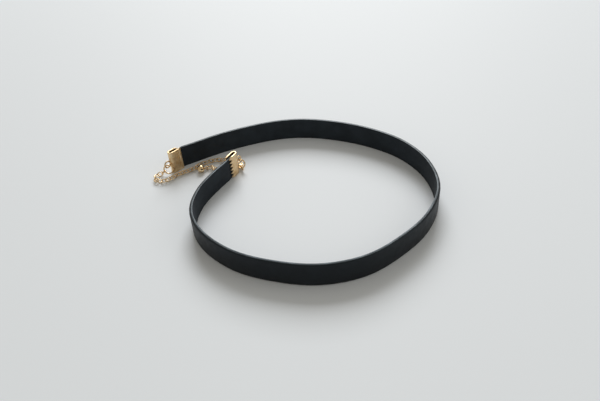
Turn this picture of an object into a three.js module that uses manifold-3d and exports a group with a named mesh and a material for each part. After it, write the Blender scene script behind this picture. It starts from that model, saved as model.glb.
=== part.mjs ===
// A choker necklace: a flat leather strap that stands on its edge in one loop, with a folded
// ribbon clamp on each end. A jump ring in one clamp carries an extender chain that ends in a
// ball drop, and a jump ring in the other carries the clasp, which holds a link of that chain.
// Millimetres, +Z up. The strap's lower edge stands on z = 0, and the origin is on that
// surface, under the middle of the whole necklace.

import * as THREE from 'three';
import { mergeVertices } from 'three/addons/utils/BufferGeometryUtils.js';
import Module from 'manifold-3d';

const wasm = await Module();
wasm.setup();

// Strap
const loopRadius = 48.5;
const strapWidth = 10;
const strapThickness = 1.4;
const pressedThickness = 1.0;
const pressRun = 1.6;
const strapSteps = 96;

// Ribbon clamps, of folded sheet
const sheetThickness = 0.55;
const clampClearance = 0.2;
const clampDepth = 5.9;
const clampRise = 0.6;
const toothPitch = 1.75;
const toothDepth = 1.8;
const ribInset = 0.35;
const ribWidth = 0.6;
const ribHeight = 0.22;
const eyeletHoleRadius = 1.15;
const eyeletRim = 0.65;
const eyeletNeckWidth = 1.9;
const eyeletStandoff = 0.25;

// Jump rings
const ringRadius = 2;
const ringWire = 0.6;

// Extender chain
const linkLength = 2.9;
const linkWidth = 2.2;
const linkWire = 0.42;
const linkPlay = 0.2;
const strandLinks = 25;
const tailLinks = 9;
const surfaceGap = 0.05;

// Ball drop
const ballDiameter = 3.3;
const dropEyeRadius = 0.76;
const dropEyeWire = 0.46;
const dropNeck = 0.55;

// Clasp
const claspLength = 8.6;
const claspWidth = 3.8;
const claspArm = 0.65;
const claspThickness = 0.8;
const claspBodyLength = 2.8;
const claspBodyWidth = 2.2;
const claspBodyThickness = 1.5;
const claspEyeRadius = 0.95;
const claspEyeWire = 0.6;

// How many sides or steps round things are drawn with
const linkWireSides = 6;
const stoutWireSides = 8;
const linkSides = 12;
const eyeSides = 14;
const ringSides = 16;
const ballSides = 16;
const ballRows = 12;
const bendSteps = 10;
const holeSteps = 16;

// The middle of the strap's wall, seen from above, clockwise from the chain's end.
// Bearings are degrees about the middle of the loop, and reach is a share of loopRadius.
const strapRows = [
  { bearing: 152.3, reach: 1.308 },
  { bearing: 151.1, reach: 1.3 },
  { bearing: 148, reach: 1.254 },
  { bearing: 135, reach: 1.127 },
  { bearing: 120, reach: 1.033 },
  { bearing: 105, reach: 0.982 },
  { bearing: 90, reach: 0.942 },
  { bearing: 70, reach: 0.906 },
  { bearing: 50, reach: 0.918 },
  { bearing: 30, reach: 0.968 },
  { bearing: 10, reach: 1.011 },
  { bearing: -10, reach: 1.029 },
  { bearing: -30, reach: 0.998 },
  { bearing: -50, reach: 0.964 },
  { bearing: -70, reach: 0.971 },
  { bearing: -90, reach: 0.965 },
  { bearing: -110, reach: 0.957 },
  { bearing: -130, reach: 0.987 },
  { bearing: -150, reach: 1.014 },
  { bearing: -165, reach: 1.004 },
  { bearing: -180, reach: 0.932 },
  { bearing: -195, reach: 0.845 },
  { bearing: -204.3, reach: 0.808 },
  { bearing: -207.9, reach: 0.802 },
];

// How each jump ring hangs from its eyelet. Its flat side faces a bearing and tilts up from
// the level, and angles round the ring start at its lowest point. The eyelet holds it at one
// angle, and what hangs on it is at the other.
const ringPoses = {
  chainSide: { faceBearing: -90, faceTilt: 12, eyeletAngle: 180, loadAngle: -65, slump: 0.35 },
  claspSide: { faceBearing: -105, faceTilt: 15, eyeletAngle: -155, loadAngle: 20, slump: 0.2 },
};

// Where the chain lies, east and north of the middle of the loop, as shares of loopRadius.
const strandRoute = [
  { east: -1.337, north: 0.485 },
  { east: -1.377, north: 0.459 },
  { east: -1.381, north: 0.422 },
  { east: -1.359, north: 0.386 },
  { east: -1.298, north: 0.377 },
  { east: -1.253, north: 0.396 },
  { east: -1.216, north: 0.428 },
  { east: -1.171, north: 0.464 },
  { east: -1.08, north: 0.51 },
  { east: -1.031, north: 0.542 },
  { east: -0.993, north: 0.585 },
  { east: -0.947, north: 0.608 },
  { east: -0.875, north: 0.634 },
  { east: -0.802, north: 0.636 },
  { east: -0.754, north: 0.615 },
];
const tailRoute = [
  { east: -0.741, north: 0.5 },
  { east: -0.802, north: 0.46 },
  { east: -0.828, north: 0.486 },
  { east: -0.885, north: 0.532 },
];
const dropPlace = { east: -0.976, north: 0.501, bearing: 31 };
const claspBearing = 114;

const radians = THREE.MathUtils.degToRad;
const up = new THREE.Vector3(0, 0, 1);
const weldDistance = 1e-4;

const leather = new THREE.MeshStandardMaterial({ color: 0x1c1d20, roughness: 0.55, metalness: 0 });
const gold = new THREE.MeshStandardMaterial({ color: 0xd9bd85, roughness: 0.25, metalness: 1 });

function toSolid(geometry) {
  const bare = geometry.clone();
  bare.deleteAttribute('normal');
  bare.deleteAttribute('uv');
  const merged = mergeVertices(bare, weldDistance);
  return new wasm.Manifold(new wasm.Mesh({
    numProp: 3,
    vertProperties: new Float32Array(merged.attributes.position.array),
    triVerts: new Uint32Array(merged.index.array),
  }));
}

function toGeometry(solid) {
  const { vertProperties, triVerts } = solid.getMesh();
  const geometry = new THREE.BufferGeometry();
  geometry.setAttribute('position', new THREE.BufferAttribute(new Float32Array(vertProperties), 3));
  geometry.setIndex(new THREE.BufferAttribute(new Uint32Array(triVerts), 1));
  geometry.computeVertexNormals();
  return geometry;
}

function namedMesh(name, geometry, material) {
  const mesh = new THREE.Mesh(geometry, material);
  mesh.name = name;
  return mesh;
}

// Turns a mesh so that its own X runs along one direction and its own Z along another.
function orient(mesh, centre, along, normal) {
  const x = along.clone().normalize();
  const z = normal.clone().addScaledVector(x, -normal.dot(x)).normalize();
  const y = new THREE.Vector3().crossVectors(z, x);
  mesh.quaternion.setFromRotationMatrix(new THREE.Matrix4().makeBasis(x, y, z));
  mesh.position.copy(centre);
  return mesh;
}

function level(bearing) {
  return new THREE.Vector3(Math.cos(radians(bearing)), Math.sin(radians(bearing)), 0);
}

function onLoop({ east, north }, height) {
  return new THREE.Vector3(east * loopRadius, north * loopRadius, height);
}

// The strap

const strapCurve = new THREE.CatmullRomCurve3(
  strapRows.map(({ bearing, reach }) => level(bearing).multiplyScalar(reach * loopRadius)),
  false,
  'centripetal',
);
const strapRun = strapCurve.getLength();

// The half thickness of a clamp's slot and of the clamp, and how deep the strap reaches in.
const slotHalf = pressedThickness / 2 + clampClearance;
const clampHalf = slotHalf + sheetThickness;
const graspDepth = clampDepth - clampHalf;

// Where a clamp's mouth meets the strap, and the direction from there to its fold.
function strapEnd(share) {
  const outward = strapCurve.getTangentAt(share).multiplyScalar(share > 0 ? 1 : -1);
  return { mouth: strapCurve.getPointAt(share), outward };
}
const chainEnd = strapEnd(0);
const claspEnd = strapEnd(1);

function strapSection(point, tangent, thickness) {
  const outward = new THREE.Vector3(-tangent.y, tangent.x, 0).multiplyScalar(thickness / 2);
  return { outer: point.clone().add(outward), inner: point.clone().sub(outward) };
}

function makeStrap() {
  const tips = [chainEnd, claspEnd].map(({ mouth, outward }) => (
    mouth.clone().addScaledVector(outward, graspDepth)
  ));
  const pressShare = pressRun / strapRun;
  const shares = [0];
  for (let step = 0; step <= strapSteps; step += 1) {
    shares.push(pressShare + (1 - 2 * pressShare) * (step / strapSteps));
  }
  shares.push(1);
  const sections = shares.map((share) => {
    const pressed = share === 0 || share === 1;
    const thickness = pressed ? pressedThickness : strapThickness;
    return strapSection(strapCurve.getPointAt(share), strapCurve.getTangentAt(share), thickness);
  });
  sections.unshift(strapSection(tips[0], strapCurve.getTangentAt(0), pressedThickness));
  sections.push(strapSection(tips[1], strapCurve.getTangentAt(1), pressedThickness));
  const outline = [
    ...sections.map(({ outer }) => outer),
    ...sections.map(({ inner }) => inner).reverse(),
  ];
  const shape = new THREE.Shape(outline.map(({ x, y }) => new THREE.Vector2(x, y)));
  const wall = new THREE.ExtrudeGeometry(shape, { depth: strapWidth, bevelEnabled: false });
  return namedMesh('strap', wall, leather);
}

// The ribbon clamps. A clamp's own X runs from its mouth to its fold, and its own Y points
// at the ribbed plate.

const clampHeight = strapWidth + clampRise;
const eyeletRadius = eyeletHoleRadius + eyeletRim;
const eyeletX = clampDepth + eyeletStandoff + eyeletHoleRadius;

function clampFold() {
  const foldX = clampDepth - clampHalf;
  const profile = new THREE.Shape();
  profile.moveTo(0, -slotHalf);
  profile.lineTo(0, -clampHalf);
  profile.lineTo(foldX, -clampHalf);
  profile.absarc(foldX, 0, clampHalf, -Math.PI / 2, Math.PI / 2, false);
  profile.lineTo(ribInset + ribWidth, clampHalf);
  profile.lineTo(ribInset + ribWidth / 2, clampHalf + ribHeight);
  profile.lineTo(ribInset, clampHalf);
  profile.lineTo(0, clampHalf);
  profile.lineTo(0, slotHalf);
  profile.lineTo(foldX, slotHalf);
  profile.absarc(foldX, 0, slotHalf, Math.PI / 2, -Math.PI / 2, true);
  return new THREE.ExtrudeGeometry(profile, {
    depth: clampHeight,
    bevelEnabled: false,
    curveSegments: bendSteps,
  });
}

// What the punch takes away between the teeth of one plate.
function clampComb() {
  const toothCount = Math.round(clampHeight / toothPitch);
  const pitch = clampHeight / toothCount;
  const comb = new THREE.Shape();
  comb.moveTo(-toothDepth, -pitch);
  comb.lineTo(toothDepth, 0);
  for (let tooth = 0; tooth < toothCount; tooth += 1) {
    comb.lineTo(0, (tooth + 0.5) * pitch);
    comb.lineTo(toothDepth, (tooth + 1) * pitch);
  }
  comb.lineTo(-toothDepth, clampHeight + pitch);
  const cut = new THREE.ExtrudeGeometry(comb, { depth: clampHalf + ribHeight, bevelEnabled: false });
  return cut.rotateX(Math.PI / 2);
}

function clampEyelet() {
  const neckHalf = eyeletNeckWidth / 2;
  const neckAngle = Math.asin(neckHalf / eyeletRadius);
  const plate = new THREE.Shape();
  plate.moveTo(clampDepth - sheetThickness / 2, -neckHalf);
  plate.absarc(eyeletX, 0, eyeletRadius, Math.PI + neckAngle, Math.PI - neckAngle, false);
  plate.lineTo(clampDepth - sheetThickness / 2, neckHalf);
  const hole = new THREE.Path();
  hole.absarc(eyeletX, 0, eyeletHoleRadius, 0, 2 * Math.PI, true);
  plate.holes.push(hole);
  const eyelet = new THREE.ExtrudeGeometry(plate, {
    depth: sheetThickness,
    bevelEnabled: false,
    curveSegments: holeSteps,
  });
  return eyelet.rotateX(Math.PI / 2).translate(0, sheetThickness / 2, clampHeight / 2);
}

function makeClamp(name, { mouth, outward }) {
  const solid = toSolid(clampFold()).subtract(toSolid(clampComb())).add(toSolid(clampEyelet()));
  return orient(namedMesh(name, toGeometry(solid), gold), mouth, outward, up);
}

// The jump rings

function hangRing({ mouth, outward }, pose) {
  const face = level(pose.faceBearing).multiplyScalar(Math.cos(radians(pose.faceTilt)));
  face.z = Math.sin(radians(pose.faceTilt));
  const side = new THREE.Vector3().crossVectors(up, face).normalize();
  const down = new THREE.Vector3().crossVectors(side, face);
  const spoke = (angle) => down.clone().multiplyScalar(Math.cos(radians(angle)))
    .addScaledVector(side, Math.sin(radians(angle)));
  const held = mouth.clone().addScaledVector(outward, eyeletX);
  held.z = clampHeight / 2 - pose.slump;
  const centre = held.addScaledVector(spoke(pose.eyeletAngle), -ringRadius);
  return {
    centre,
    face,
    side,
    load: centre.clone().addScaledVector(spoke(pose.loadAngle), ringRadius),
    loadWire: spoke(pose.loadAngle + 90),
  };
}
const chainRing = hangRing(chainEnd, ringPoses.chainSide);
const claspRing = hangRing(claspEnd, ringPoses.claspSide);

function makeJumpRing(name, { centre, face, side }) {
  const ring = new THREE.TorusGeometry(ringRadius, ringWire / 2, stoutWireSides, ringSides);
  return orient(namedMesh(name, ring, gold), centre, side, face);
}

// The extender chain. A link's own X is its long axis and its own Z is square to its plane.

const bendRadius = (linkWidth - linkWire) / 2;
const bendOffset = (linkLength - linkWidth) / 2;
const linkReach = bendOffset + bendRadius;
const wireContact = linkWire + linkPlay / 2;

// A ring of wire, pulled apart along X into an oval with straight sides.
function linkGeometry() {
  const oval = new THREE.TorusGeometry(bendRadius, linkWire / 2, linkWireSides, linkSides);
  oval.rotateZ(Math.PI / linkSides);
  const places = oval.attributes.position;
  for (let corner = 0; corner < places.count; corner += 1) {
    const x = places.getX(corner);
    places.setX(corner, x + Math.sign(x) * bendOffset);
  }
  return oval;
}

let linkCount = 0;
function makeLink(centre, along, normal) {
  linkCount += 1;
  const name = `chain_link_${String(linkCount).padStart(2, '0')}`;
  return orient(namedMesh(name, linkGeometry(), gold), centre, along, normal);
}

// The lowest that a link's middle lies for a roll about its long axis, where 0 is flat and
// 90 stands on its side. A flat link is still held up by the upright links beside it.
const flatLinkLift = 0.62;
function lyingHeight(roll) {
  const lift = Math.max(Math.abs(Math.sin(radians(roll))), flatLinkLift);
  return bendRadius * lift + linkWire / 2 + surfaceGap;
}

// The direction square to a link's plane for a roll about the route's direction.
function rolledNormal(along, roll) {
  const flat = up.clone().addScaledVector(along, -up.dot(along)).normalize();
  return flat.applyAxisAngle(along, radians(roll));
}

// The roll that turns a link's plane square to the wire that it hangs on.
function rollOver(along, wire) {
  const flat = rolledNormal(along, 0);
  const across = new THREE.Vector3().crossVectors(along, flat);
  return THREE.MathUtils.radToDeg(Math.atan2(wire.dot(across), wire.dot(flat)));
}

// Links spread evenly along a route, each turned about a quarter from the one before, from
// the given distance after its start to the given distance before its end.
function layLinks(count, points, startInset, endInset, startWire, endRoll) {
  const route = new THREE.CatmullRomCurve3(points, false, 'centripetal');
  const length = route.getLength();
  const run = length - startInset - endInset;
  const gaps = count - 1;
  const startRoll = rollOver(route.getTangentAt(startInset / length), startWire);
  const drift = (endRoll - startRoll - gaps * 90) % 180;
  const evenDrift = drift - 180 * Math.round(drift / 180);
  const links = [];
  for (let step = 0; step <= gaps; step += 1) {
    const share = (startInset + (run * step) / gaps) / length;
    const along = route.getTangentAt(share);
    const roll = startRoll + step * (90 + evenDrift / gaps);
    const centre = route.getPointAt(share);
    centre.z = Math.max(centre.z, lyingHeight(roll));
    links.push(makeLink(centre, along, rolledNormal(along, roll)));
  }
  return links;
}

// The clasp. Its own X runs from the middle of its eye to its tip, and its own Y is its left.

const claspTipRadius = claspWidth / 2;
const claspTipX = claspLength - claspTipRadius;
const claspBodyX = claspEyeRadius + claspBodyLength / 2;
const heldLinkHeight = lyingHeight(90);
const claspAcross = level(claspBearing + 90);
const claspAlong = level(claspBearing).multiplyScalar(claspTipX);
claspAlong.z = heldLinkHeight - claspRing.load.z;
claspAlong.normalize();

function claspLoop() {
  const outline = new THREE.Shape();
  const tailHalf = claspBodyWidth / 2 - claspArm / 2;
  outline.moveTo(claspBodyX, -tailHalf);
  outline.quadraticCurveTo(claspBodyX + claspBodyLength / 2, -claspTipRadius, claspTipX, -claspTipRadius);
  outline.absarc(claspTipX, 0, claspTipRadius, -Math.PI / 2, Math.PI / 2, false);
  outline.quadraticCurveTo(claspBodyX + claspBodyLength / 2, claspTipRadius, claspBodyX, tailHalf);
  const innerRadius = claspTipRadius - claspArm;
  const openingX = claspBodyX + claspBodyLength / 2;
  const opening = new THREE.Path();
  opening.moveTo(openingX, 0);
  opening.quadraticCurveTo(openingX, innerRadius, claspTipX, innerRadius);
  opening.absarc(claspTipX, 0, innerRadius, Math.PI / 2, -Math.PI / 2, true);
  opening.quadraticCurveTo(openingX, -innerRadius, openingX, 0);
  outline.holes.push(opening);
  const loop = new THREE.ExtrudeGeometry(outline, {
    depth: claspThickness,
    bevelEnabled: false,
    curveSegments: bendSteps,
  });
  return loop.translate(0, 0, -claspThickness / 2);
}

function makeClasp() {
  const body = new THREE.SphereGeometry(1, ballSides, ballRows);
  body.scale(claspBodyLength / 2, claspBodyWidth / 2, claspBodyThickness / 2);
  body.translate(claspBodyX, 0, 0);
  const eye = new THREE.TorusGeometry(claspEyeRadius, claspEyeWire / 2, stoutWireSides, eyeSides);
  eye.rotateX(Math.PI / 2);
  const solid = toSolid(claspLoop()).add(toSolid(body)).add(toSolid(eye));
  const normal = new THREE.Vector3().crossVectors(claspAlong, claspAcross);
  return orient(namedMesh('clasp', toGeometry(solid), gold), claspRing.load, claspAlong, normal);
}

// The link that the clasp holds stands on its side round the clasp's left arm. The strand
// and the tail both hook its other end, one above the other.
const heldStack = wireContact / 2;
const heldLinkCentre = claspRing.load.clone()
  .addScaledVector(claspAlong, claspTipX)
  .addScaledVector(claspAcross, claspTipRadius + linkPlay / 2);
const heldHook = heldLinkCentre.clone()
  .addScaledVector(claspAcross, bendOffset + Math.sqrt(bendRadius ** 2 - heldStack ** 2));

// The ball drop. Its own X runs from the ball's middle to its eye.

const dropEyeX = ballDiameter / 2 + dropNeck + dropEyeRadius;
const dropEyeHeight = dropEyeRadius + dropEyeWire / 2 + surfaceGap;
const dropCentre = onLoop(dropPlace, ballDiameter / 2 + surfaceGap);
const dropAlong = level(dropPlace.bearing).multiplyScalar(
  Math.sqrt(dropEyeX ** 2 - (dropCentre.z - dropEyeHeight) ** 2),
);
dropAlong.z = dropEyeHeight - dropCentre.z;
dropAlong.normalize();
const dropEye = dropCentre.clone().addScaledVector(dropAlong, dropEyeX);

function makeEndDrop() {
  const ball = new THREE.SphereGeometry(ballDiameter / 2, ballSides, ballRows);
  const neckWire = dropEyeWire / 2;
  const neck = new THREE.CylinderGeometry(neckWire, neckWire, 2 * dropNeck, stoutWireSides);
  neck.rotateZ(Math.PI / 2).translate(ballDiameter / 2, 0, 0);
  const eye = new THREE.TorusGeometry(dropEyeRadius, neckWire, linkWireSides, linkSides);
  eye.rotateX(Math.PI / 2).translate(dropEyeX, 0, 0);
  const solid = toSolid(ball).add(toSolid(neck)).add(toSolid(eye));
  return orient(namedMesh('end_drop', toGeometry(solid), gold), dropCentre, dropAlong, up);
}

function makeChain() {
  const heldRoll = 0;
  const strandEnd = heldHook.clone().addScaledVector(up, heldStack);
  const strand = layLinks(
    strandLinks,
    [
      chainRing.load,
      ...strandRoute.slice(0, -1).map((place) => onLoop(place, heldLinkHeight)),
      onLoop(strandRoute.at(-1), strandEnd.z),
      strandEnd,
    ],
    linkReach - (linkWire + ringWire) / 2 - linkPlay / 2,
    linkReach - wireContact,
    chainRing.loadWire,
    heldRoll,
  );
  const heldLink = makeLink(heldLinkCentre, claspAcross, claspAlong);
  const tailStart = heldHook.clone().addScaledVector(up, -heldStack);
  const tail = layLinks(
    tailLinks,
    [tailStart, ...tailRoute.map((place) => onLoop(place, dropEyeHeight)), dropEye],
    linkReach - wireContact,
    linkReach,
    up,
    heldRoll,
  );
  return [...strand, heldLink, ...tail];
}

function makeNecklace() {
  const necklace = new THREE.Group();
  necklace.add(
    makeStrap(),
    makeClamp('chain_side_clamp', chainEnd),
    makeClamp('clasp_side_clamp', claspEnd),
    makeJumpRing('chain_side_jump_ring', chainRing),
    makeJumpRing('clasp_side_jump_ring', claspRing),
    makeClasp(),
    ...makeChain(),
    makeEndDrop(),
  );
  necklace.updateMatrixWorld(true);
  const middle = new THREE.Box3().setFromObject(necklace, true).getCenter(new THREE.Vector3());
  necklace.position.set(-middle.x, -middle.y, 0);
  return necklace;
}

export default makeNecklace();
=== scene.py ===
"""Choker necklace: a black leather strap with gold ribbon clamps, a clasp and an extender chain.

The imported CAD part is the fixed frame, and each piece here stands where its CAD node stands.
Lengths are in metres, +Z is up, and the strap's lower edge is on z = 0.
"""

import math

import bmesh
import bpy
import numpy as np
from mathutils import Matrix, Vector


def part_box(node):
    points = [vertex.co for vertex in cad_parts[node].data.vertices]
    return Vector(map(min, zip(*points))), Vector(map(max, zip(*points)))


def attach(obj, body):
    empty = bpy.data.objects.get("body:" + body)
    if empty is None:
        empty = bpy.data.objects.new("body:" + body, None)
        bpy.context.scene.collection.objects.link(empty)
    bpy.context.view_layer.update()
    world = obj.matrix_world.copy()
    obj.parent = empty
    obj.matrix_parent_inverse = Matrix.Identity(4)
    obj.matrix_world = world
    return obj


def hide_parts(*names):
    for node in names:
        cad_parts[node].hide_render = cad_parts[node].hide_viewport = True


bl_info = {
    "name": "Choker necklace",
    "version": (1, 0, 0),
    "blender": (4, 5, 0),
    "location": "View3D > Sidebar > Choker",
    "description": "Builds a leather choker with ribbon clamps, a clasp and an extender chain",
    "category": "Object",
}

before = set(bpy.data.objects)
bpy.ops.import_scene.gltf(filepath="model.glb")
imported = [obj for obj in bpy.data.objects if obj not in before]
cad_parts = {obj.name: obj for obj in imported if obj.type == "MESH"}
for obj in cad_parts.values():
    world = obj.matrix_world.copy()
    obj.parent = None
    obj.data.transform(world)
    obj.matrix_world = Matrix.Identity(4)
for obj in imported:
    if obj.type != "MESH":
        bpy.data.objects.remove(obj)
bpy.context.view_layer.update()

MM = 0.001
BODY = "root"
WELD = 0.0005 * MM
UP = Vector((0, 0, 1))
ACROSS = Vector((0, 1, 0))

# The CAD model's own sizes
SHEET = 0.55 * MM
SLOT_HALF = 0.7 * MM
CLAMP_DEPTH = 5.9 * MM
CLAMP_HEIGHT = 10.6 * MM
CLAMP_HALF = SLOT_HALF + SHEET
TOOTH_COUNT = 6
TOOTH_DEPTH = 1.8 * MM
RIB_MIDDLE = 0.65 * MM
RIB_HALF = 0.3 * MM
RIB_HEIGHT = 0.22 * MM
EYELET_HOLE = 1.15 * MM
EYELET_RIM = 0.65 * MM
EYELET_NECK = 1.9 * MM
EYELET_X = 7.3 * MM
RING_RADIUS = 2.0 * MM
LINK_LENGTH = 2.9 * MM
LINK_WIDTH = 2.2 * MM
BALL_RADIUS = 1.65 * MM
DROP_EYE_RADIUS = 0.76 * MM
DROP_EYE_WIRE = 0.46 * MM
DROP_EYE_X = 2.96 * MM
CLASP_LENGTH = 8.6 * MM
CLASP_TIP_RADIUS = 1.9 * MM
CLASP_ARM = 0.65 * MM
CLASP_EYE_RADIUS = 0.95 * MM
CLASP_EYE_WIRE = 0.6 * MM
CLASP_BODY = Vector((2.8, 2.2, 1.5)) * MM

# Sizes of this model's finer details. CLASP_FLAT is the clasp arm's height over its width.
CLASP_FLAT = 1.23
CLASP_LEVER = Vector((1.5, 0.9, 0.7)) * MM
DROP_COLLAR = Vector((0.5, 1.1, 1.1)) * MM
DROP_NECK_END = 0.9 * BALL_RADIUS
TOOTH_BITE = 0.12 * MM
NECK_THICKNESS = 0.9 * SHEET

# The clamps' blank. This many columns put one on the rib's crest, and keep them wider than
# the rounding. The teeth push the columns of the first TOOTH_SHARE of its length back.
SHEET_COLUMNS = 61
TOOTH_SHARE = 0.5

# How many steps, sides and segments the round shapes have
WIRE_SIDES = 12
STOUT_WIRE_SIDES = 16
EYELET_STEPS = 48
RING_STEPS = 56
LINK_BEND_STEPS = 16
CLASP_TIP_STEPS = 20
CLASP_ARM_STEPS = 12
CLASP_EYE_STEPS = 40
DROP_EYE_STEPS = 32
BALL_SEGMENTS = 48
BODY_SEGMENTS = 32
COLLAR_SEGMENTS = 24
LEVER_SEGMENTS = 20
RIM_SEGMENTS = 5

# How faces and edges are told apart. The z of an upright face's normal is below UPRIGHT, of a
# level one's above LEVEL, and of a painted edge's above EDGE_SLOPE. The rims of the strap's
# cut tips are shorter than TIP_LENGTH.
STRAIGHT = math.radians(0.3)
SHARP = math.radians(50)
UPRIGHT = 0.1
LEVEL = 0.99
EDGE_SLOPE = 0.25
TIP_LENGTH = 1.1 * MM

# Leather: cloudy dye, uneven satin and embossed grain
CLOUD_SIZE = 6.0 * MM
CLOUD_LIGHTER = 1.7
SATIN_SIZE = 2.5 * MM
SATIN_RANGE = (-0.05, 0.07)
GRAIN_DEPTH = 0.03 * MM
PORE_DETAIL = 2.0
# The dressing gives the leather's sheen a cool tone, most of all on the painted edges
FACE_TINT = (0.9, 0.96, 1.0, 1.0)
EDGE_TINT = (0.74, 0.9, 1.0, 1.0)

# Gold plate: deeper patches, haze and ripples
PATCH_SIZE = 1.6 * MM
HAZE_SIZE = 0.9 * MM
HAZE_RANGE = (-0.04, 0.08)
RIPPLE_SIZE = 1.1 * MM
RIPPLE_DEPTH = 0.08 * MM
RIPPLE_DETAIL = 1.0

# The noise of all the uneven looks. Nearly all of its values lie between the low and the high.
NOISE_DETAIL = 3.0
NOISE_LOW = 0.3
NOISE_HIGH = 0.7

# The numbers of a Mix node's sockets for colours
MIX_SHARE = 0
MIX_FIRST = 6
MIX_SECOND = 7
MIX_RESULT = 2

# The stage. The lights' places are from the middle of the strap.
FLOOR_HALF = 4.0
FLOOR_DROP = 0.02 * MM
FLOOR_ROUGHNESS = 0.6
FLOOR_GLOSS = 0.3
ROOM_STRENGTH = 0.41
WINDOW_SIZE = 1.4
WINDOW_PLACE = Vector((0.15, 2.1, 1.55))
SIDE_SIZE = 0.5
SIDE_PLACE = Vector((0.75, -0.2, 0.45))

# The photo's view, from the strap box's right and front sides and from the floor
CAMERA_FROM_STRAP = Vector((-55.4, -141.504, 157.0)) * MM
CAMERA_PITCH = math.radians(39.748)
CAMERA_ROLL = math.radians(4.131)
LENS = 36.0
SENSOR = 36.0
CLIP_START = 0.01


def linear(colour):
    """An sRGB hex colour as linear red, green, blue and alpha."""
    shares = [int(colour[place : place + 2], 16) / 255 for place in (1, 3, 5)]
    return [s / 12.92 if s <= 0.04045 else ((s + 0.055) / 1.055) ** 2.4 for s in shares] + [1.0]


def per(size):
    """The texture scale that makes one feature about this long."""
    return 1 / size


def length_property(name, description, default):
    """A size that a user can change."""
    return bpy.props.FloatProperty(
        name=name, description=description, default=default, min=0, unit="LENGTH", precision=5
    )


def colour_property(name, description, default):
    """A colour that a user can change, given as sRGB hex."""
    return bpy.props.FloatVectorProperty(
        name=name,
        description=description,
        default=linear(default),
        size=4,
        min=0,
        max=1,
        subtype="COLOR",
    )


def power_property(name, description, default):
    """A light's power in watts."""
    return bpy.props.FloatProperty(
        name=name, description=description, default=default, min=0, unit="POWER"
    )


class StrapSettings(bpy.types.PropertyGroup):
    """Sizes and colours of the leather strap."""

    outer_round: length_property("Outer rounding", "Radius of the outer face's rims", 0.65 * MM)
    inner_round: length_property("Inner rounding", "Radius of the inner face's rims", 0.2 * MM)
    grain: length_property("Grain", "Size of one pebble of the leather's grain", 0.45 * MM)
    face: colour_property("Face", "Colour of the strap's outer face", "#10151a")
    lining: colour_property("Lining", "Colour of the strap's inner face", "#1c2228")
    edge: colour_property("Edge", "Colour of the painted cut edge", "#0b0e12")


class MetalSettings(bpy.types.PropertyGroup):
    """Sizes and colours of the gold-tone metal."""

    ring_wire: length_property("Ring wire", "Thickness of a jump ring's wire", 0.6 * MM)
    link_wire: length_property("Link wire", "Thickness of a chain link's wire", 0.42 * MM)
    seam: length_property("Seam", "Gap where a ring's or a link's ends meet", 0.05 * MM)
    edge_round: length_property("Sheet rounding", "Radius of the clamps' sheet edges", 0.14 * MM)
    gold: colour_property("Gold", "Colour of the light gold plate", "#f3deb9")
    worn: colour_property("Deep gold", "Colour where the plate is deeper", "#dcba89")


class StageSettings(bpy.types.PropertyGroup):
    """Colours and lights of the stage."""

    floor: colour_property("Floor", "Colour of the pale floor", "#e5ebf1")
    room: colour_property("Room", "Colour of the light from all round", "#f8f1e4")
    window: power_property("Window", "Power of the soft light behind the necklace", 54.5)
    side: power_property("Side", "Power of the weak light on the right", 0.6)


def add_node(tree, kind, inputs, **settings):
    """Adds one node. inputs gives each socket a value, or another node's output to link."""
    node = tree.nodes.new(kind)
    for key, value in settings.items():
        setattr(node, key, value)
    for key, value in inputs.items():
        if isinstance(value, bpy.types.NodeSocket):
            tree.links.new(value, node.inputs[key])
        else:
            node.inputs[key].default_value = value
    return node


def start_material(name):
    """An empty node material, its tree and its shader."""
    material = bpy.data.materials.new(name)
    material.use_nodes = True
    tree = material.node_tree
    return material, tree, tree.nodes["Principled BSDF"]


def uneven(tree, place, size, low, high):
    """A value that drifts between two numbers, in features about this long."""
    noise = add_node(
        tree, "ShaderNodeTexNoise", {"Vector": place, "Scale": per(size), "Detail": NOISE_DETAIL}
    )
    ends = {
        "Value": noise.outputs["Fac"],
        "From Min": NOISE_LOW,
        "From Max": NOISE_HIGH,
        "To Min": low,
        "To Max": high,
    }
    return add_node(tree, "ShaderNodeMapRange", ends).outputs["Result"]


def two_tone(tree, place, size, first, second):
    """A colour that drifts between two, in features about this long."""
    share = uneven(tree, place, size, 0, 1)
    ends = {MIX_SHARE: share, MIX_FIRST: first, MIX_SECOND: second}
    return add_node(tree, "ShaderNodeMix", ends, data_type="RGBA").outputs[MIX_RESULT]


def leather(name, colour, grain, roughness, relief, sheen=0.25, tint=FACE_TINT):
    """Coated leather, embossed and dyed black: a fine pebble grain with a soft satin sheen."""
    material, tree, shader = start_material(name)
    place = add_node(tree, "ShaderNodeTexCoord", {}).outputs["Object"]
    lighter = [share * CLOUD_LIGHTER for share in colour[:3]] + [1.0]
    clouds = two_tone(tree, place, CLOUD_SIZE, colour, lighter)
    tree.links.new(clouds, shader.inputs["Base Color"])
    low, high = (roughness + shift for shift in SATIN_RANGE)
    satin = uneven(tree, place, SATIN_SIZE, low, high)
    tree.links.new(satin, shader.inputs["Roughness"])
    pebble = add_node(
        tree, "ShaderNodeTexVoronoi", {"Vector": place, "Scale": per(grain)}, feature="SMOOTH_F1"
    )
    pores = add_node(
        tree,
        "ShaderNodeTexNoise",
        {"Vector": place, "Scale": per(grain / 2), "Detail": PORE_DETAIL},
    )
    heights = {0: pebble.outputs["Distance"], 1: pores.outputs["Fac"]}
    height = add_node(tree, "ShaderNodeMath", heights, operation="ADD")
    relief_node = add_node(
        tree,
        "ShaderNodeBump",
        {"Strength": relief, "Distance": GRAIN_DEPTH, "Height": height.outputs[0]},
    )
    tree.links.new(relief_node.outputs["Normal"], shader.inputs["Normal"])
    shader.inputs["Specular IOR Level"].default_value = sheen
    shader.inputs["Specular Tint"].default_value = tint
    return material


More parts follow.
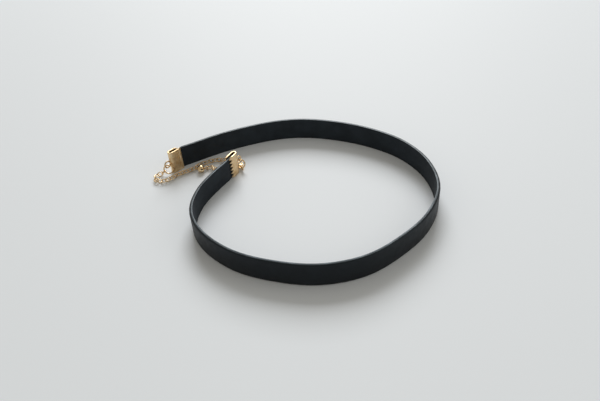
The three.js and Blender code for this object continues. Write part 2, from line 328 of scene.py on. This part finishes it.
def gold_plate(name, settings, roughness, ripple):
    """Light gold plate on brass: polished, with faint ripples, haze and deeper patches."""
    material, tree, shader = start_material(name)
    place = add_node(tree, "ShaderNodeTexCoord", {}).outputs["Object"]
    patches = two_tone(tree, place, PATCH_SIZE, list(settings.gold), list(settings.worn))
    tree.links.new(patches, shader.inputs["Base Color"])
    shader.inputs["Metallic"].default_value = 1.0
    low, high = (roughness + shift for shift in HAZE_RANGE)
    haze = uneven(tree, place, HAZE_SIZE, low, high)
    tree.links.new(haze, shader.inputs["Roughness"])
    wave = add_node(
        tree,
        "ShaderNodeTexNoise",
        {"Vector": place, "Scale": per(RIPPLE_SIZE), "Detail": RIPPLE_DETAIL},
    )
    relief_node = add_node(
        tree,
        "ShaderNodeBump",
        {"Strength": ripple, "Distance": RIPPLE_DEPTH, "Height": wave.outputs["Fac"]},
    )
    tree.links.new(relief_node.outputs["Normal"], shader.inputs["Normal"])
    return material


def node_corners(name):
    """The corners of a CAD node, each once."""
    corners = np.array([corner.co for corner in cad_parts[name].data.vertices], float)
    return np.unique(np.round(corners, 8), axis=0)


def node_axes(name):
    """The middle of a CAD node, and its axes from the thinnest way to the longest."""
    corners = node_corners(name)
    middle = corners.mean(axis=0)
    axes = np.linalg.eigh(np.cov((corners - middle).T))[1]
    return Vector(middle), [Vector(axes[:, column]) for column in range(3)]


def frame_of(origin, along, normal):
    """The matrix that puts X along one direction and Z as near as it can to another."""
    x = along.normalized()
    z = (normal - x * normal.dot(x)).normalized()
    turn = Matrix((x, z.cross(x), z)).transposed()
    return Matrix.Translation(origin) @ turn.to_4x4()


def object_from(shape, name, materials):
    """Makes an object of a bmesh and puts it in the scene."""
    mesh = bpy.data.meshes.new(name)
    shape.to_mesh(mesh)
    shape.free()
    for material in materials:
        mesh.materials.append(material)
    made = bpy.data.objects.new(name, mesh)
    bpy.context.scene.collection.objects.link(made)
    return made


def piece_from(shape, name, node, materials, smooth_below=40):
    """Makes a piece of a bmesh that stands for one CAD node, and rides on the part's body."""
    piece = object_from(shape, name, materials)
    mesh = piece.data
    mesh.polygons.foreach_set("use_smooth", [True] * len(mesh.polygons))
    mesh.set_sharp_from_angle(angle=math.radians(smooth_below))
    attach(piece, BODY)
    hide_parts(node)


def edges_at(corners):
    """The edges that meet at the given corners, each once and in the corners' order."""
    return list(dict.fromkeys(edge for corner in corners for edge in corner.link_edges))


def draw_wire(shape, path, radius, normal, sides=WIRE_SIDES, flat=1.0, closed=True):
    """Extrudes a round section along a flat path. flat is its height over its width."""
    count = len(path)
    places = []
    for step, point in enumerate(path):
        ahead = path[(step + 1) % count] if closed else path[min(step + 1, count - 1)]
        behind = path[step - 1] if closed else path[max(step - 1, 0)]
        tangent = (ahead - behind).normalized()
        turn = Matrix((normal.cross(tangent), normal * flat, tangent)).transposed()
        places.append(Matrix.Translation(point) @ turn.to_4x4())
    made = bmesh.ops.create_circle(
        shape, segments=sides, radius=radius, cap_ends=not closed, matrix=places[0]
    )
    ring = edges_at(made["verts"])
    stops = places[1:] + places[:1] if closed else places[1:]
    corners = list(made["verts"])
    for before, after in zip(places, stops):
        grown = bmesh.ops.extrude_edge_only(shape, edges=ring)["geom"]
        moved = [item for item in grown if isinstance(item, bmesh.types.BMVert)]
        ring = [
            item
            for item in grown
            if isinstance(item, bmesh.types.BMEdge) and all(end in moved for end in item.verts)
        ]
        bmesh.ops.transform(shape, matrix=after @ before.inverted(), verts=moved)
        corners += moved
    if not closed:
        bmesh.ops.contextual_create(shape, geom=ring)
    bmesh.ops.remove_doubles(shape, verts=corners, dist=WELD)


def arc(centre, radius, start, end, steps):
    """Points on an arc in the XY plane, angles in degrees."""
    return [
        centre + Vector((math.cos(angle), math.sin(angle), 0)) * radius
        for angle in np.radians(np.linspace(start, end, steps + 1))
    ]


def upright_ring(centre, radius, steps):
    """Points on a circle in the XZ plane."""
    return [
        centre + Vector((math.cos(turn), 0, math.sin(turn))) * radius
        for turn in np.linspace(0, 2 * math.pi, steps, endpoint=False)
    ]


def bezier(start, control, end, steps):
    """Points on a quadratic curve."""
    shares = [step / steps for step in range(steps + 1)]
    return [
        start.lerp(control, share).lerp(control.lerp(end, share), share) for share in shares
    ]


def round_edges(shape, edges, offset, segments=3):
    """Rounds the given edges."""
    bmesh.ops.bevel(
        shape,
        geom=edges,
        offset=offset,
        segments=segments,
        profile=0.5,
        affect="EDGES",
        material=-1,
    )


def face_outwards(shape):
    """Points a new piece's faces outwards."""
    bmesh.ops.recalc_face_normals(shape, faces=shape.faces)


class MakeStrap(bpy.types.Operator):
    """Make the leather strap, with rounded rims and painted cut edges"""

    bl_idname = "choker.strap"
    bl_label = "Leather strap"

    def execute(self, context):
        settings = context.scene.choker_strap
        shape = bmesh.new()
        shape.from_mesh(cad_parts["strap"].data)
        bmesh.ops.remove_doubles(shape, verts=shape.verts, dist=WELD)
        bmesh.ops.dissolve_limit(
            shape, angle_limit=STRAIGHT, verts=shape.verts, edges=shape.edges
        )
        lowest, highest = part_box("strap")
        middle = (lowest + highest) / 2
        for side, rounding in ((1, settings.outer_round), (-1, settings.inner_round)):
            rims = [edge for edge in shape.edges if self.is_rim(edge, middle, side)]
            if not rims:
                raise RuntimeError("the strap has no rims to round")
            round_edges(shape, rims, rounding, segments=RIM_SEGMENTS)
        for face in shape.faces:
            if abs(face.normal.z) > EDGE_SLOPE:
                face.material_index = 2
            elif self.faces_out(face, middle) < 0:
                face.material_index = 1
        materials = [
            leather(
                "Embossed black leather",
                list(settings.face),
                settings.grain,
                roughness=0.5,
                relief=0.35,
            ),
            leather(
                "Black split leather lining",
                list(settings.lining),
                settings.grain,
                roughness=0.62,
                relief=0.5,
            ),
            leather(
                "Painted leather edge",
                list(settings.edge),
                settings.grain,
                roughness=0.35,
                relief=0.2,
                sheen=0.38,
                tint=EDGE_TINT,
            ),
        ]
        piece_from(shape, "leather_strap", "strap", materials, smooth_below=50)
        return {"FINISHED"}

    def faces_out(self, face, middle):
        """Above zero for a face that looks away from the middle of the loop."""
        return face.normal.to_2d().dot((face.calc_center_median() - middle).to_2d())

    def is_rim(self, edge, middle, side):
        """Whether an edge runs between a level face and the strap's outer or inner face."""
        if len(edge.link_faces) != 2 or edge.calc_length() < TIP_LENGTH:
            return False
        upright, level = sorted(edge.link_faces, key=lambda face: abs(face.normal.z))
        if abs(upright.normal.z) > UPRIGHT or abs(level.normal.z) < LEVEL:
            return False
        return self.faces_out(upright, middle) * side > 0


def clamp_place(node):
    """A clamp's own frame: X from its mouth's middle to its fold, and Y to its ribbed plate."""
    corners = node_corners(node)
    middle = Vector(corners.mean(axis=0))
    ring = Vector(node_corners(node.replace("clamp", "jump_ring")).mean(axis=0))
    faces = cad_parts[node].data.polygons
    upright = [face for face in faces if abs(face.normal.z) < UPRIGHT]
    across = max(upright, key=lambda face: face.area).normal
    along = across.cross(UP).normalized()
    if (ring - middle).dot(along) < 0:
        along = -along
    across = UP.cross(along)
    runs = corners @ np.array(along)
    widths = corners @ np.array(across)
    mouth = runs.max() - EYELET_X - EYELET_HOLE - EYELET_RIM
    eyelet = widths[runs > mouth + EYELET_X]
    origin = along * mouth + across * (eyelet.max() + eyelet.min()) / 2
    return frame_of(origin, along, UP)


def fold_point(run):
    """A point on the folded sheet's outer side, by its run from the toothed edge, and outwards."""
    plate = CLAMP_DEPTH - CLAMP_HALF
    bend_run = math.pi * CLAMP_HALF
    if run < plate:
        return Vector((run, -CLAMP_HALF, 0)), Vector((0, -1, 0))
    if run > plate + bend_run:
        return Vector((2 * plate + bend_run - run, CLAMP_HALF, 0)), Vector((0, 1, 0))
    angle = (run - plate) / CLAMP_HALF - math.pi / 2
    outside = Vector((math.cos(angle), math.sin(angle), 0))
    return Vector((plate, 0, 0)) + outside * CLAMP_HALF, outside


class MakeClamps(bpy.types.Operator):
    """Make the two ribbon clamps: folded sheet with teeth, a pressed rib and an eyelet"""

    bl_idname = "choker.clamps"
    bl_label = "Ribbon clamps"

    def execute(self, context):
        settings = context.scene.choker_metal
        gold = gold_plate("Stamped and plated brass sheet", settings, roughness=0.38, ripple=0.3)
        for node in ("chain_side_clamp", "clasp_side_clamp"):
            shape = bmesh.new()
            self.fold_sheet(shape)
            sharp = [edge for edge in shape.edges if edge.calc_face_angle(0) > SHARP]
            round_edges(shape, sharp, settings.edge_round)
            for corner in shape.verts:
                corner.co.x = max(corner.co.x, 0.0)
                corner.co.z = min(max(corner.co.z, 0.0), CLAMP_HEIGHT)
            self.add_eyelet(shape, settings.edge_round)
            face_outwards(shape)
            bmesh.ops.transform(shape, matrix=clamp_place(node), verts=shape.verts)
            piece_from(shape, node.replace("clamp", "ribbon_clamp"), node, [gold])
        return {"FINISHED"}

    def fold_sheet(self, shape):
        """Bends a flat blank with a toothed edge round the fold, and gives it its thickness."""
        whole = 2 * (CLAMP_DEPTH - CLAMP_HALF) + math.pi * CLAMP_HALF
        rows = 2 * TOOTH_COUNT
        bmesh.ops.create_grid(shape, x_segments=SHEET_COLUMNS, y_segments=rows, size=0.5)
        for corner in shape.verts:
            share = corner.co.x + 0.5
            row = round((corner.co.y + 0.5) * rows)
            valley = TOOTH_DEPTH if row % 2 == 0 else 0.0
            run = share * whole + valley * max(0.0, 1 - share / TOOTH_SHARE)
            point, outside = fold_point(run)
            rib = max(0.0, 1 - abs(whole - run - RIB_MIDDLE) / RIB_HALF)
            bite = max(0.0, 1 - run / TOOTH_DEPTH)
            corner.co = point + outside * (RIB_HEIGHT * rib - TOOTH_BITE * bite)
            corner.co.z = row / rows * CLAMP_HEIGHT
        face_outwards(shape)
        first = min(shape.faces, key=lambda face: face.calc_center_median().x)
        if first.normal.y * first.calc_center_median().y < 0:
            bmesh.ops.reverse_faces(shape, faces=shape.faces)
        bmesh.ops.solidify(shape, geom=shape.faces[:], thickness=SHEET)
        shape.normal_update()

    def add_eyelet(self, shape, rounding):
        """Adds the flat eyelet that stands out of the fold at half its height."""
        middle = Vector((EYELET_X, 0, CLAMP_HEIGHT / 2))
        radius = EYELET_HOLE + EYELET_RIM / 2
        path = upright_ring(middle, radius, EYELET_STEPS)
        flat = SHEET / EYELET_RIM
        draw_wire(shape, path, EYELET_RIM / 2, ACROSS, sides=STOUT_WIRE_SIDES, flat=flat)
        start = CLAMP_DEPTH - SHEET
        end = EYELET_X - EYELET_HOLE - EYELET_RIM / 4
        neck = bmesh.ops.create_cube(shape, size=1.0)["verts"]
        size = Vector((end - start, NECK_THICKNESS, EYELET_NECK))
        bmesh.ops.scale(shape, vec=size, verts=neck)
        centre = Vector(((start + end) / 2, 0, CLAMP_HEIGHT / 2))
        bmesh.ops.translate(shape, vec=centre, verts=neck)
        round_edges(shape, edges_at(neck), rounding)


class MakeRings(bpy.types.Operator):
    """Make the two jump rings, of round wire with a seam"""

    bl_idname = "choker.rings"
    bl_label = "Jump rings"

    def execute(self, context):
        settings = context.scene.choker_metal
        gold = gold_plate("Drawn and plated brass wire", settings, roughness=0.2, ripple=0.15)
        for node in ("chain_side_jump_ring", "clasp_side_jump_ring"):
            middle, (face, side, _) = node_axes(node)
            shape = bmesh.new()
            half_seam = math.degrees(settings.seam / 2 / RING_RADIUS)
            path = arc(Vector(), RING_RADIUS, half_seam, 360 - half_seam, RING_STEPS)
            draw_wire(shape, path, settings.ring_wire / 2, UP, closed=False)
            face_outwards(shape)
            bmesh.ops.transform(shape, matrix=frame_of(middle, side, face), verts=shape.verts)
            piece_from(shape, node.replace("jump_ring", "wire_ring"), node, [gold])
        return {"FINISHED"}


class MakeChain(bpy.types.Operator):
    """Make the links of the extender chain, each an oval of wire with a seam on one side"""

    bl_idname = "choker.chain"
    bl_label = "Extender chain"

    def execute(self, context):
        settings = context.scene.choker_metal
        gold = gold_plate("Polished and plated brass wire", settings, roughness=0.27, ripple=0.12)
        nodes = sorted(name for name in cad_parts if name.startswith("chain_link_"))
        if not nodes:
            raise RuntimeError("the frame has no chain links")
        for node in nodes:
            middle, (normal, _, along) = node_axes(node)
            shape = self.link(settings)
            bmesh.ops.transform(shape, matrix=frame_of(middle, along, normal), verts=shape.verts)
            piece_from(shape, node.replace("chain_link", "wire_link"), node, [gold])
        return {"FINISHED"}

    def link(self, settings):
        """An oval link about the origin, long along X."""
        bend = (LINK_WIDTH - settings.link_wire) / 2
        offset = (LINK_LENGTH - LINK_WIDTH) / 2
        half_seam = settings.seam / 2
        right = arc(Vector((offset, 0, 0)), bend, -90, 90, LINK_BEND_STEPS)
        left = arc(Vector((-offset, 0, 0)), bend, 90, 270, LINK_BEND_STEPS)
        path = [Vector((half_seam, -bend, 0)), *right, *left, Vector((-half_seam, -bend, 0))]
        shape = bmesh.new()
        draw_wire(shape, path, settings.link_wire / 2, UP, closed=False)
        face_outwards(shape)
        return shape


def long_axis(node, neighbour):
    """A node's thin axis, its long axis pointed away from its neighbour, and its near end."""
    middle, (thin, _, along) = node_axes(node)
    if (node_axes(neighbour)[0] - middle).dot(along) > 0:
        along = -along
    reach = ((node_corners(node) - np.array(middle)) @ np.array(along)).min()
    return thin, along, middle + along * reach


def add_ball(shape, middle, size, segments):
    """Adds an egg of the given size at a place."""
    place = Matrix.Translation(middle) @ Matrix.Diagonal((*(size / 2), 1.0))
    bmesh.ops.create_uvsphere(
        shape, u_segments=segments, v_segments=segments // 2, radius=1.0, matrix=place
    )


class MakeClasp(bpy.types.Operator):
    """Make the clasp: a loop of cast metal with a waisted body, a lever and an eye"""

    bl_idname = "choker.clasp"
    bl_label = "Clasp"

    def execute(self, context):
        settings = context.scene.choker_metal
        gold = gold_plate("Cast and plated brass", settings, roughness=0.18, ripple=0.2)
        thin, along, end = long_axis("clasp", "clasp_side_jump_ring")
        origin = end + along * (CLASP_EYE_RADIUS + CLASP_EYE_WIRE / 2)
        shape = bmesh.new()
        body_middle = Vector((CLASP_EYE_RADIUS + CLASP_BODY.x / 2, 0, 0))
        waist = Vector((CLASP_EYE_RADIUS + CLASP_BODY.x, 0, 0))
        tip = Vector((CLASP_LENGTH - CLASP_TIP_RADIUS, 0, 0))
        radius = CLASP_TIP_RADIUS - CLASP_ARM / 2
        root = Vector((0, (CLASP_BODY.y - CLASP_ARM) / 2, 0))
        side = Vector((0, radius, 0))
        right = bezier(body_middle - root, waist - side, tip - side, CLASP_ARM_STEPS)[:-1]
        left = bezier(tip + side, waist + side, body_middle + root, CLASP_ARM_STEPS)[1:]
        path = [*right, *arc(tip, radius, -90, 90, CLASP_TIP_STEPS), *left]
        draw_wire(
            shape,
            path,
            CLASP_ARM / 2,
            UP,
            sides=STOUT_WIRE_SIDES,
            flat=CLASP_FLAT,
            closed=False,
        )
        add_ball(shape, body_middle, CLASP_BODY, BODY_SEGMENTS)
        lever_middle = body_middle - ACROSS * CLASP_BODY.y / 2
        add_ball(shape, lever_middle, CLASP_LEVER, LEVER_SEGMENTS)
        eye = upright_ring(Vector(), CLASP_EYE_RADIUS, CLASP_EYE_STEPS)
        draw_wire(shape, eye, CLASP_EYE_WIRE / 2, ACROSS)
        face_outwards(shape)
        bmesh.ops.transform(shape, matrix=frame_of(origin, along, thin), verts=shape.verts)
        piece_from(shape, "hook_clasp", "clasp", [gold])
        return {"FINISHED"}


class MakeDrop(bpy.types.Operator):
    """Make the end drop: a polished ball with a soldered neck and eye"""

    bl_idname = "choker.drop"
    bl_label = "End drop"

    def execute(self, context):
        settings = context.scene.choker_metal
        gold = gold_plate("Polished and plated brass ball", settings, roughness=0.1, ripple=0.05)
        links = sorted(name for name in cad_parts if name.startswith("chain_link_"))
        _, along, end = long_axis("end_drop", links[-1])
        origin = end + along * (DROP_EYE_RADIUS + DROP_EYE_WIRE / 2)
        shape = bmesh.new()
        ball = Vector((DROP_EYE_X, 0, 0))
        add_ball(shape, ball, Vector((2, 2, 2)) * BALL_RADIUS, BALL_SEGMENTS)
        eye = upright_ring(Vector(), DROP_EYE_RADIUS, DROP_EYE_STEPS)
        draw_wire(shape, eye, DROP_EYE_WIRE / 2, ACROSS)
        neck = Vector((DROP_EYE_RADIUS, 0, 0))
        foot = ball - Vector((DROP_NECK_END, 0, 0))
        draw_wire(shape, [neck, neck.lerp(foot, 0.5), foot], DROP_EYE_WIRE / 2, UP, closed=False)
        collar = Vector((DROP_EYE_X - BALL_RADIUS, 0, 0))
        add_ball(shape, collar, DROP_COLLAR, COLLAR_SEGMENTS)
        face_outwards(shape)
        bmesh.ops.transform(shape, matrix=frame_of(origin, along, UP), verts=shape.verts)
        piece_from(shape, "ball_drop", "end_drop", [gold])
        return {"FINISHED"}


class MakeStage(bpy.types.Operator):
    """Make the pale floor, the soft lights and the camera at the photo's angle"""

    bl_idname = "choker.stage"
    bl_label = "Stage"

    def execute(self, context):
        scene = context.scene
        settings = scene.choker_stage
        scene.view_settings.view_transform = "Standard"
        self.floor(settings)
        self.room(scene, settings)
        lowest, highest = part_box("strap")
        middle = ((lowest + highest) / 2).xy.to_3d()
        self.light(scene, "Window", settings.window, WINDOW_SIZE, middle, WINDOW_PLACE)
        self.light(scene, "Side", settings.side, SIDE_SIZE, middle, SIDE_PLACE)
        corner = Vector((highest.x, lowest.y, 0))
        self.camera(scene, corner + CAMERA_FROM_STRAP)
        return {"FINISHED"}

    def floor(self, settings):
        """A wide matte floor just under the necklace."""
        material, _, shader = start_material("Matte painted board")
        shader.inputs["Base Color"].default_value = settings.floor
        shader.inputs["Roughness"].default_value = FLOOR_ROUGHNESS
        shader.inputs["Specular IOR Level"].default_value = FLOOR_GLOSS
        shape = bmesh.new()
        bmesh.ops.create_grid(shape, x_segments=1, y_segments=1, size=FLOOR_HALF)
        bmesh.ops.translate(shape, vec=-UP * FLOOR_DROP, verts=shape.verts)
        floor = object_from(shape, "pale_floor", [material])

    def room(self, scene, settings):
        """Even light from all round."""
        world = bpy.data.worlds.new("Soft room")
        world.use_nodes = True
        background = world.node_tree.nodes["Background"]
        background.inputs["Color"].default_value = settings.room
        background.inputs["Strength"].default_value = ROOM_STRENGTH
        scene.world = world

    def light(self, scene, name, power, size, target, offset):
        """A square soft light that faces the necklace."""
        lamp = bpy.data.lights.new(name, "AREA")
        lamp.energy = power
        lamp.size = size
        holder = bpy.data.objects.new(name, lamp)
        holder.location = target + offset
        holder.rotation_euler = offset.to_track_quat("Z", "Y").to_euler()
        scene.collection.objects.link(holder)

    def camera(self, scene, place):
        """The photo's camera: pitched down, and rolled a little."""
        lens = bpy.data.cameras.new("Photo view")
        lens.lens = LENS
        lens.sensor_width = SENSOR
        lens.clip_start = CLIP_START
        camera = bpy.data.objects.new("Photo view", lens)
        ahead = Vector((0, math.cos(CAMERA_PITCH), -math.sin(CAMERA_PITCH)))
        down = Vector((0, -math.sin(CAMERA_PITCH), -math.cos(CAMERA_PITCH)))
        right = Vector((1, 0, 0))
        across = right * math.cos(CAMERA_ROLL) + down * math.sin(CAMERA_ROLL)
        upward = right * math.sin(CAMERA_ROLL) - down * math.cos(CAMERA_ROLL)
        turn = Matrix((across, upward, -ahead)).transposed().to_4x4()
        camera.matrix_world = Matrix.Translation(place) @ turn
        scene.collection.objects.link(camera)
        scene.camera = camera


class ChokerPanel(bpy.types.Panel):
    """Lists the pieces of the necklace and what can be changed"""

    bl_idname = "VIEW3D_PT_choker"
    bl_label = "Choker necklace"
    bl_space_type = "VIEW_3D"
    bl_region_type = "UI"
    bl_category = "Choker"

    def draw(self, context):
        for settings in ("choker_strap", "choker_metal", "choker_stage"):
            group = getattr(context.scene, settings)
            box = self.layout.box()
            for name in group.__annotations__:
                box.prop(group, name)
        for operator in OPERATORS:
            self.layout.operator(operator.bl_idname)


OPERATORS = (MakeStrap, MakeClamps, MakeRings, MakeChain, MakeClasp, MakeDrop, MakeStage)
GROUPS = (StrapSettings, MetalSettings, StageSettings)


def register():
    """Registers the classes and the scene's settings."""
    for entry in (*GROUPS, *OPERATORS, ChokerPanel):
        bpy.utils.register_class(entry)
    bpy.types.Scene.choker_strap = bpy.props.PointerProperty(type=StrapSettings)
    bpy.types.Scene.choker_metal = bpy.props.PointerProperty(type=MetalSettings)
    bpy.types.Scene.choker_stage = bpy.props.PointerProperty(type=StageSettings)


def unregister():
    """Takes the classes and the scene's settings away again."""
    del bpy.types.Scene.choker_stage
    del bpy.types.Scene.choker_metal
    del bpy.types.Scene.choker_strap
    for entry in reversed((*GROUPS, *OPERATORS, ChokerPanel)):
        bpy.utils.unregister_class(entry)


def main():
    """Builds the necklace and its stage."""
    register()
    bpy.ops.choker.strap()
    bpy.ops.choker.clamps()
    bpy.ops.choker.rings()
    bpy.ops.choker.chain()
    bpy.ops.choker.clasp()
    bpy.ops.choker.drop()
    bpy.ops.choker.stage()


if __name__ == "__main__":
    main()
